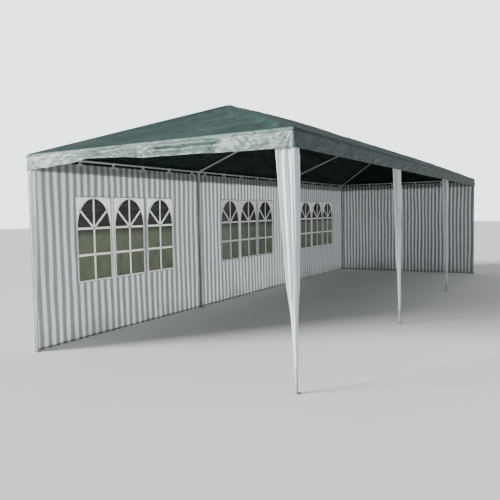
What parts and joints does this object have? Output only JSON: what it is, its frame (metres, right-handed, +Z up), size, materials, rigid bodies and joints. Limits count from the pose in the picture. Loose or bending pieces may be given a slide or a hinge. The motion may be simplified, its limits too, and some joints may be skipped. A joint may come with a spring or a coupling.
{
  "type": "party tent",
  "caption": "Hipped party tent: tube frame, sheet cover with valance, striped side walls with arched clear windows on one long side and a plain wall at one end.",
  "frame": {"origin": "on the ground under the middle of the tent", "axes": "+Z up, +Y along the length from the open end to the walled end, +X across towards the open long side; the wall with windows is at -X"},
  "size_m": [3.06, 9.06, 2.6254],
  "materials": {
    "frame_paint": "white powder coat, satin",
    "cover_green": "dark green coated woven tarpaulin with a soft plastic sheen",
    "wall_striped": "coated woven tarpaulin in upright white and grey-green stripes, slightly see-through",
    "window_film": "clear soft plastic film",
    "leg_white": "white coated woven tarpaulin"
  },
  "bodies": {
    "root": {"connector_back_left": "frame_paint", "connector_back_right": "frame_paint", "connector_front_left": "frame_paint", "connector_front_right": "frame_paint", "connector_mid_back_left": "frame_paint", "connector_mid_back_right": "frame_paint", "connector_mid_front_left": "frame_paint", "connector_mid_front_right": "frame_paint", "eave_tube_back": "frame_paint", "eave_tube_front": "frame_paint", "eave_tube_left_back": "frame_paint", "eave_tube_left_front": "frame_paint", "eave_tube_left_middle": "frame_paint", "eave_tube_right_back": "frame_paint", "eave_tube_right_front": "frame_paint", "eave_tube_right_middle": "frame_paint", "hip_rafter_back_left": "frame_paint", "hip_rafter_back_right": "frame_paint", "hip_rafter_front_left": "frame_paint", "hip_rafter_front_right": "frame_paint", "leg_cover_front_left": "leg_white", "leg_cover_front_right": "leg_white", "leg_cover_mid_back_right": "leg_white", "leg_cover_mid_front_right": "leg_white", "post_back_left": "frame_paint", "post_back_right": "frame_paint", "post_front_left": "frame_paint", "post_front_right": "frame_paint", "post_mid_back_left": "frame_paint", "post_mid_back_right": "frame_paint", "post_mid_front_left": "frame_paint", "post_mid_front_right": "frame_paint", "rafter_mid_back_left": "frame_paint", "rafter_mid_back_right": "frame_paint", "rafter_mid_front_left": "frame_paint", "rafter_mid_front_right": "frame_paint", "ridge_back": "frame_paint", "ridge_front": "frame_paint", "ridge_middle": "frame_paint", "roof_back": "cover_green", "roof_front": "cover_green", "roof_left": "cover_green", "roof_right": "cover_green", "valance_back": "cover_green", "valance_front": "cover_green", "valance_left": "cover_green", "valance_right": "cover_green", "wall_back": "wall_striped", "wall_left_back": "wall_striped", "wall_left_front": "wall_striped", "wall_left_middle": "wall_striped", "window_film_back": "window_film", "window_film_front": "window_film", "window_film_middle": "window_film"}
  },
  "joints": []
}
